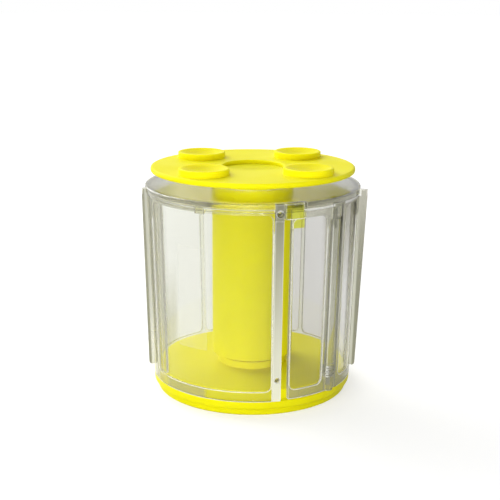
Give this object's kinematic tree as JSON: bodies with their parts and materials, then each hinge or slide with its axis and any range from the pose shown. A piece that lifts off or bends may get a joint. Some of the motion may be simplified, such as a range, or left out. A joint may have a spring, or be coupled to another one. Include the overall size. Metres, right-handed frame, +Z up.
{
  "type": "ribbon winder",
  "caption": "Round hand winder for a gymnastics ribbon: a spool with a finger-cup knob turns inside a clear drafted case with a feed slot and a hinged door.",
  "frame": {"origin": "centre of the foot ring's underside, on the spool's axis", "axes": "+Z up along the spool's axis; -Y is the front, where the feed slot is just to the +X side of the middle and the door is beside it"},
  "size_m": [0.0916, 0.0884, 0.0959],
  "materials": {
    "yellow_plastic": "glossy moulded",
    "clear_plastic": "polished clear",
    "steel": "zinc plated",
    "bearing_plastic": "satin",
    "label_film": "clear film"
  },
  "bodies": {
    "case": {"bottom_cover": "yellow_plastic", "cover_screws": "steel", "base_dish": "yellow_plastic", "axle_bolt": "steel", "axle_nut": "steel", "axle_washer": "steel", "thrust_washer": "bearing_plastic", "lid": "clear_plastic", "back_shell": "clear_plastic", "left_side_panel": "clear_plastic", "right_side_panel": "clear_plastic", "hinge_pins": "steel", "front_window": "clear_plastic", "slot_strip": "clear_plastic", "strip_studs": "clear_plastic", "blank_label": "label_film"},
    "spool": {"core_bush": "yellow_plastic", "spool_core": "yellow_plastic", "knob_disc": "yellow_plastic", "centre_cap": "yellow_plastic"},
    "door": {"ribbon_door": "clear_plastic"}
  },
  "joints": [
    {"name": "spool_spin", "type": "hinge", "parent": "case", "child": "spool", "pos_m": [0, 0, 0.05], "axis": [0, 0, 1], "continuous": true},
    {"name": "door_swing", "type": "hinge", "parent": "case", "child": "door", "pos_m": [0.03045, -0.0261, 0.0062], "axis": [0.0215, -0.0185, 0.9996], "range_deg": [0, 110]}
  ]
}
